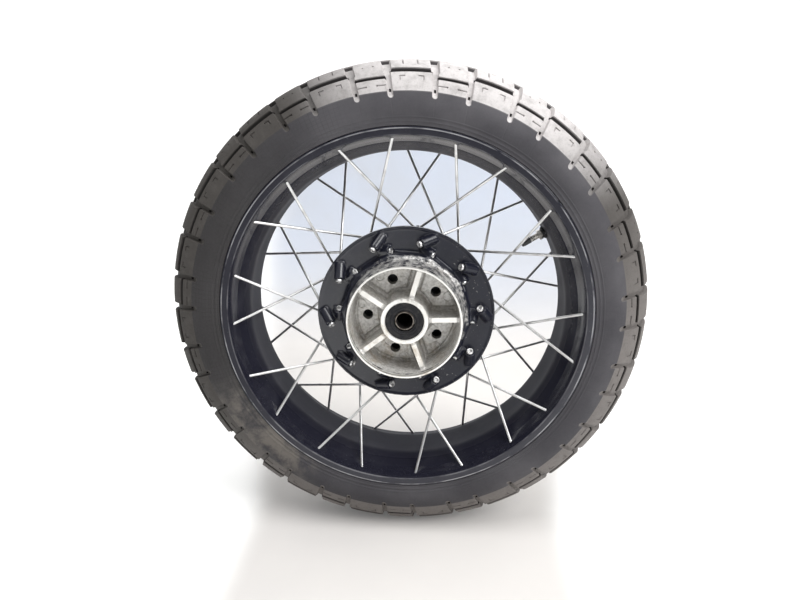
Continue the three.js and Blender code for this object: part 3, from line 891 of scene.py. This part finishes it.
def rib(half_width, start, end, top_y):
    outline = [(start, -half_width), (end, -half_width), (end, half_width), (start, half_width)]
    return moved(prism(outline, CUP_FLOOR_Y + 1, top_y, 1.6), turn(RIB_ANGLE))


def floor_pad():
    """A raised cushion seat between two ribs, its sides parallel to them."""
    def side(radius):
        return 36.0 - math.degrees(math.asin(PAD_RIB_DISTANCE / radius))
    corners = []
    for radius, direction in ((PAD_OUTER_RADIUS, 1), (PAD_INNER_RADIUS, -1)):
        reach = side(radius)
        for step in range(9):
            angle = direction * reach * (step / 4 - 1)
            place = polar(radius, 0, angle)
            corners.append((place.x, place.z))
    return moved(prism(corners, CUP_FLOOR_Y + 1, PAD_Y, 0.8), turn(DRIVE_HOLE_ANGLE))


def cast_marks():
    """Plain ejector rings and an empty date frame on every pad, all without lettering."""
    ring = revolve(rounded([(4.9, 0, 0), (5.1, -1.1, 0.3), (6.2, -1.1, 0.3), (6.4, 0, 0)], 2), 32)
    parts = []
    for index in range(STATIONS):
        middle = DRIVE_HOLE_ANGLE + 72 * index
        for radius, offset in ((57.5, 14.0), (42.5, -15.0)) if index % 2 else ((57.0, -14.5),):
            place = polar(radius, PAD_Y + 0.05, middle + offset)
            parts.append(moved(ring, Matrix.Translation(place)))
        frame_turn = turn(middle) @ Matrix.Translation((38.2, PAD_Y + 0.05, 0))
        for x, z, dx, dz in ((-2.6, 0, 0.4, 8), (2.6, 0, 0.4, 8), (0, -7.6, 3, 0.4), (0, 7.6, 3, 0.4)):
            corners = [(x - dx, z - dz), (x + dx, z - dz), (x + dx, z + dz), (x - dx, z + dz)]
            parts.append(moved(prism(corners, 0, -1.1), frame_turn))
    return parts


def with_marks(piece):
    marks = outward(joined("marks", cast_marks(), None))
    bm = bmesh.new()
    bm.from_mesh(piece.data)
    bm.from_mesh(marks.data)
    bm.to_mesh(piece.data)
    bm.free()
    bpy.data.objects.remove(marks)


def hub():
    outline = [
        (67.2, -72.5, 0), (69.9, -72.5, 0), (70.1, -66, 1), (71.5, -56, 2), (74, -44, 2), (75.5, -37, 3),
        (80, -32.2, 3), (108.2, -32.2, 1), (108.7, -33.4, 0.3), (111.1, -33.4, 0.6), (111.1, -25.2, 2),
        (68, -25.2, 6), (60, -18.2, 6), (60, 10, 6), (68, 17, 6), (99, 17, 2), (99, 24, 2), (73, 24, 5),
        (70.2, 50.5, 0.5), (49.8, 50.5, 0.5), (48, 8, 6), (31, 8, 6), (29.1, 54.5, 1), (18, 54.5, 0),
        (18, -63, 0), (29.1, -63, 1), (30.6, -26.3, 4), (64.6, -26.3, 5), (66.8, -58, 1),
    ]
    piece = turned("hub_casting", outline, 160, HUB, 34.0)
    lines = [spoke_axis(frame["nodes"][name])[:2] for name in SPOKE_NAMES]
    rows = [lines[i:i + 10] for i in (0, 10, 20, 30)]
    cut(piece, stations(rib(RIB_WIDTH / 2, 26, 66.5, RIB_TOP_Y - 0.5)), "UNION")
    cut(piece, stations(floor_pad()), "UNION")
    collar = [(68.5, -28, 0), (79, -28, 10), (80, -33, 10), (77, -42, 10), (73.4, -45, 10), (68.5, -45, 0)]
    cut(piece, [moved(hollow(collar, 160), turn(-21.9))], "UNION")
    for row in (rows[0], rows[3]):
        for line in row:
            cut(piece, [moved(bar(TUBE_BOSS_RADIUS, 0, TUBE_BOSS_LENGTH, 24), along(*line))], "UNION")
    for row in (rows[1], rows[2]):
        for line in row:
            cut(piece, [moved(bar(7.2, -1.6, 13, 24, 6.4), along(*line))], "UNION")
    remesh = piece.modifiers.new("cast", "REMESH")
    remesh.mode = "VOXEL"
    remesh.voxel_size = 1.0 * MM
    smooth = piece.modifiers.new("fillets", "SMOOTH")
    smooth.factor = 0.5
    smooth.iterations = 3
    apply_modifiers(piece)
    for part in (
        slab(60, 80, -80, CUP_LIP_Y), slab(69.5, 80, -80, -65), slab(66, 67.5, -80, -66),
        slab(10, 31.5, -80, NEAR_BOSS_Y), slab(33, 63, -80, RIB_TOP_Y),
        slab(40, 80, DISC_FACE_Y, 70), slab(10, 33, FAR_BOSS_Y, 70),
        turned_solid([(SEAT_RADIUS, -80), (SEAT_RADIUS, -61.9), (23.8, -61.9), (23.8, -40.2), (19.5, -40.2),
                      (19.5, 29.4), (23.8, 29.4), (23.8, 53.4), (24.4, 54.0), (24.4, 80)], 96),
    ):
        cut(piece, [part])
    for row, head in zip(rows, (0, 1, 1, 0)):
        cut(piece, [moved(bar(3.3, -20, 60, 20), along(*line)) for line in row])
        if head:
            cut(piece, [moved(bar(4.9, -18, 0, 24), along(*line)) for line in row])
    drive_place = Matrix.Translation(polar(DRIVE_HOLE_CIRCLE, 0, DRIVE_HOLE_ANGLE))
    drive = moved(bar(DRIVE_HOLE_RADIUS, PAD_Y - 2, CUP_FLOOR_Y + 21, 32), drive_place)
    bolt_place = Matrix.Translation(polar(DISC_BOLT_CIRCLE, 0, DRIVE_HOLE_ANGLE))
    bolt = moved(turned_solid([(3.4, 30), (3.4, 49.2), (4.2, 50), (4.2, 51)], 24), bolt_place)
    cut(piece, stations(drive))
    cut(piece, stations(bolt))
    with_marks(piece)
    paint(piece)
    return finish_piece(piece, ["hub"])


def paint(piece):
    """Marks where the casting is bare and where it is machined, for its material."""
    mesh = piece.data
    co = np.zeros(len(mesh.vertices) * 3, np.float32)
    mesh.vertices.foreach_get("co", co)
    x, y, z = co.reshape(-1, 3).T / MM
    r = np.hypot(x, z)
    inside = (r < 66.9) & (y < -20)
    upper_right = 0.5 + 0.5 * np.cos(np.arctan2(z, x) - math.radians(50))
    outside = np.clip((-y - 48 + 16 * upper_right) / 20, 0, 0.56) * (r < 79)
    far_face = (y > 49.4) & (r < 71)
    bores = r < 24.6
    bare = np.maximum.reduce([inside * 1.0, outside, far_face * 1.0, bores * 1.0])
    near_heights = (CUP_LIP_Y, NEAR_BOSS_Y, RIB_TOP_Y)
    near_faces = np.logical_or.reduce([np.abs(y - height) < 0.1 for height in near_heights])
    lip = (y < -65) & ((np.abs(r - 69.5) < 0.1) | (np.abs(r - 67.5) < 0.1))
    far_faces = (np.abs(y - DISC_FACE_Y) < 0.1) | (np.abs(y - FAR_BOSS_Y) < 0.1)
    machined = near_faces | lip | far_faces | bores
    mark(piece, "bare", np.maximum(bare, machined))
    mark(piece, "machined", machined)
    mesh.shade_smooth()
    mesh.set_sharp_from_angle(angle=math.radians(36))


hub()


# ---------------------------------------------------------------- bearings, seals and axle parts

def ring(name, outline, segments, material, slot, node, body):
    return finish_piece(turned(name, outline, segments, material), [node], body)


def groove(edge_radius, bottom_radius, half_width, steps=6):
    """A ball track's round bottom, from +Y to -Y."""
    result = []
    for step in range(steps + 1):
        t = 1 - 2 * step / steps
        result.append((bottom_radius + (edge_radius - bottom_radius) * t * t, half_width * t))
    return result


def bearing(side, middle):
    outer = [(23.5, -7, 0.5), (23.5, 7, 0.5), (20, 7, 0.3)] + groove(20, 20.8, 2.45) + [(20, -7, 0.3)]
    inner = [(10, -7, 0.5), (13.4, -7, 0.3)] + [(r, -y) for r, y in groove(13.4, 12.7, 2.45)]
    inner += [(13.4, 7, 0.3), (10, 7, 0.5)]
    for race, outline, body in (("outer", outer, WHEEL), ("inner", inner, CORE)):
        shifted = [(c[0], c[1] + middle, *c[2:]) for c in outline]
        node = f"{side}_bearing_{race}_race"
        ring(f"{side}_{race}_race_ground", shifted, 96, STEEL, "bearing_steel", node, body)
    step = 360 / BALL_COUNT
    parts = [ball(polar(BALL_CIRCLE_RADIUS, middle, step * i)) for i in range(BALL_COUNT)]
    parts += [cage_ribbon(middle, 1), cage_ribbon(middle, -1)]
    piece = outward(joined(f"{side}_ball_set", parts, STEEL, 50.0))
    finish_piece(piece, [f"{side}_bearing_balls"], f"{side}_balls")


def ball(centre):
    bm = bmesh.new()
    bmesh.ops.create_icosphere(bm, subdivisions=3, radius=BALL_RADIUS, matrix=Matrix.Translation(centre))
    vertices = [tuple(v.co) for v in bm.verts]
    faces = [tuple(v.index for v in f.verts) for f in bm.faces]
    bm.free()
    return vertices, faces


def cage_ribbon(middle, side):
    """Half of a pressed cage, bulging round each ball."""
    vertices, faces = [], []
    count = 128
    for i in range(count):
        a = 360 * i / count
        off = abs((a + 22.5) % 45 - 22.5) * math.pi / 180 * BALL_CIRCLE_RADIUS
        bulge = math.sqrt(max(0.0, 4.15 ** 2 - off ** 2))
        low = max(0.25, bulge)
        for radius, y in ((15.9, low), (17.6, low), (17.6, low + 0.6), (15.9, low + 0.6)):
            vertices.append(tuple(polar(radius, middle + side * y, a)))
    for i in range(count):
        j = (i + 1) % count
        for k in range(4):
            m = (k + 1) % 4
            faces.append((4 * i + k, 4 * j + k, 4 * j + m, 4 * i + m))
    return vertices, faces


def seal(name, node, outer_face, inner_face):
    """A double-lip seal: a flat face with a pressed step, and a lip that touches nothing at rest."""
    d = 1 if inner_face > outer_face else -1
    outline = [
        (23.5, outer_face + 0.3 * d, 0.4), (22.7, outer_face, 0.2), (18.6, outer_face, 0.3),
        (18.2, outer_face + 0.5 * d, 0.2), (17.2, outer_face + 0.5 * d, 0.2), (16.8, outer_face, 0.2),
        (15.4, outer_face + 0.1 * d, 0.3), (14.9, outer_face + 1.0 * d, 0.3),
        (13.9, outer_face + 1.1 * d, 0.3), (13.0, outer_face + 0.5 * d, 0.2),
        (12.8, outer_face + 1.3 * d, 0.2), (14.1, outer_face + 3.0 * d, 0.5),
        (12.9, outer_face + 5.2 * d, 0.3), (13.4, inner_face, 0.4), (16, inner_face, 0.5),
        (16.4, outer_face + 2.2 * d, 0.8), (21.6, outer_face + 2.2 * d, 0.8), (22, inner_face, 0.4),
        (23.5, inner_face, 0.4),
    ]
    ring(name, outline, 96, SEAL, "seal_rubber", node, WHEEL)


def axle_parts():
    near = [(10, -59.5, 0.4), (11.2, -59.5, 0.1), (11.4, -59.3, 0.1), (12.3, -58.7, 0.3)]
    near += [(12.3, -54.8, 0.3), (10, -54.8, 0.3)]
    far = [(10, 44, 0.3), (12.3, 44, 0.3), (12.3, 59, 0.3), (11.5, 60, 0.2), (10, 60, 0.4)]
    tube = [(10, -40.2, 0.4), (13, -40.2, 0.5), (13, -8, 0.4), (12.7, -7, 0.4), (12.7, -3, 0.4)]
    tube += [(13, -2, 0.4), (13, 29.4, 0.5), (10, 29.4, 0.4)]
    ring("near_collar_turned", near, 96, COLLAR, "collar_steel", "near_axle_collar", CORE)
    ring("far_collar_turned", far, 96, COLLAR, "collar_steel", "far_axle_collar", CORE)
    ring("spacer_tube_turned", tube, 96, COLLAR, "collar_steel", "bearing_spacer_tube", CORE)
    seal("near_seal_moulded", "near_oil_seal", -61.3, -54.8)
    seal("far_seal_moulded", "far_oil_seal", 50.5, 44)


bearing("near", NEAR_BEARING_Y)
bearing("far", FAR_BEARING_Y)
axle_parts()


# ---------------------------------------------------------------- valve

def valve_piece(name, part, material, node, sharp=32.0):
    place = along(polar(WELL_RADIUS, 0, VALVE_ANGLE), polar(-1, 0, VALVE_ANGLE))
    piece = outward(joined(name, [moved(part, place)], material, sharp))
    return finish_piece(piece, [node])


def valve():
    stem = [(1.0, -7.5, 0), (7.4, -7.5, 0), (8, -6.9, 0), (8, -5.0, 0), (7.5, -4.5, 0)]
    stem += [(4.2, -4.5, 0), (3.9, -4.1, 0)]
    for turn_index in range(13):
        y = 4.2 + turn_index
        stem += [(3.95, y, 0), (3.6, y + 0.5, 0)]
    stem += [(3.95, 17.4, 0), (3.95, 18.6, 0), (3.6, 19, 0), (2.6, 19, 0)]
    for turn_index in range(6):
        y = 19.3 + 0.8 * turn_index
        stem += [(2.6, y, 0), (2.3, y + 0.4, 0)]
    stem += [(2.5, 24.4, 0), (2.2, 25, 0), (1.0, 25, 0)]
    grommet = [(4.3, 0.6, 0), (7.4, 0.6, 0), (8, 1.1, 0), (7.8, 2.4, 0), (6.9, 3.3, 0)]
    grommet += [(6.2, 3.6, 0), (4.3, 3.6, 0)]
    nut = [(4.3, 3.9, 0), (5.4, 3.9, 0), (5.9, 4.4, 6), (5.9, 9.0, 6), (5.4, 9.5, 0), (4.3, 9.5, 0)]
    cap = [(0.3, 25.4, 0), (2.9, 25.4, 0), (2.9, 19.5, 0), (3.7, 19.5, 0), (4.0, 19.9, 14), (4.0, 29.0, 14)]
    cap += [(3.7, 29.6, 0), (3.8, 30.2, 0), (3.7, 31.4, 0), (3.1, 32.1, 0), (0.3, 32.2, 0)]
    valve_piece("valve_stem_threaded", shaped(stem, 32), NICKEL, "valve_stem")
    valve_piece("valve_grommet_moulded", hollow(grommet, 48), SEAL, "valve_grommet")
    valve_piece("valve_nut_hexagon", hollow(nut, 60), NICKEL, "valve_nut")
    valve_piece("valve_cap_fluted", shaped(cap, 56), CAP, "valve_cap", 24.0)


valve()


# ---------------------------------------------------------------- floor, light and camera

def studio():
    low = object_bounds()[0][2]
    sweep = [(-4.0, low), (1.0, low)]
    bend = np.linspace(0.1, math.pi / 2, 14)
    sweep += [(1.0 + 0.8 * math.sin(a), low + 0.8 - 0.8 * math.cos(a)) for a in bend]
    sweep += [(1.8, 4.0)]
    vertices = [(x, y, z) for y, z in sweep for x in (-5.0, 5.0)]
    faces = [(2 * i, 2 * i + 1, 2 * i + 3, 2 * i + 2) for i in range(len(sweep) - 1)]
    mesh = bpy.data.meshes.new("studio_floor")
    mesh.from_pydata(vertices, [], faces)
    mesh.shade_smooth()
    mesh.materials.append(floor_material())
    floor = bpy.data.objects.new("studio_floor", mesh)
    bpy.context.scene.collection.objects.link(floor)


def area_light(name, place, size, power):
    """A rectangular lamp that points at the wheel's centre."""
    light = bpy.data.lights.new(name, "AREA")
    light.shape = "RECTANGLE"
    light.size, light.size_y = size
    light.energy = power
    lamp = bpy.data.objects.new(name, light)
    lamp.location = place
    lamp.rotation_euler = (-Vector(place)).to_track_quat("-Z", "Y").to_euler()
    bpy.context.scene.collection.objects.link(lamp)


def world():
    """Even light, brighter from above and behind, as in a pale room; plain white to the camera."""
    bpy.context.scene.world = bpy.data.worlds.new("room")
    room = bpy.context.scene.world
    room.use_nodes = True
    nodes, links = room.node_tree.nodes, room.node_tree.links
    background = nodes["Background"]
    background.inputs["Color"].default_value = (1, 1, 1, 1)
    coords = nodes.new("ShaderNodeTexCoord")
    split = nodes.new("ShaderNodeSeparateXYZ")
    links.new(coords.outputs["Generated"], split.inputs[0])
    level = nodes.new("ShaderNodeMapRange")
    level.inputs["From Min"].default_value = -0.4
    level.inputs["From Max"].default_value = 0.9
    level.inputs["To Min"].default_value = 0.16
    level.inputs["To Max"].default_value = 0.80
    total = nodes.new("ShaderNodeMath")
    total.operation = "ADD"
    links.new(split.outputs["Y"], total.inputs[0])
    links.new(split.outputs["Z"], total.inputs[1])
    links.new(total.outputs[0], level.inputs["Value"])
    rays = nodes.new("ShaderNodeLightPath")
    shown = nodes.new("ShaderNodeMix")
    shown.inputs[3].default_value = 1.0
    links.new(rays.outputs["Is Camera Ray"], shown.inputs[0])
    links.new(level.outputs[0], shown.inputs[2])
    links.new(shown.outputs[0], background.inputs["Strength"])


def camera():
    data = bpy.data.cameras.new("camera")
    data.sensor_width = 36.0
    data.lens = CAMERA_LENS
    eye = bpy.data.objects.new("camera", data)
    eye.location = CAMERA_PLACE
    eye.rotation_euler = (math.radians(CAMERA_TILT), 0.0, math.radians(CAMERA_TURN))
    bpy.context.scene.collection.objects.link(eye)
    bpy.context.scene.camera = eye


camera()
studio()
world()
area_light("window", (1.7, -1.1, 1.5), (1.4, 1.4), 48)
area_light("ceiling", (0.1, -0.5, 2.3), (2.2, 1.2), 38)
bpy.context.scene.view_settings.view_transform = "Standard"
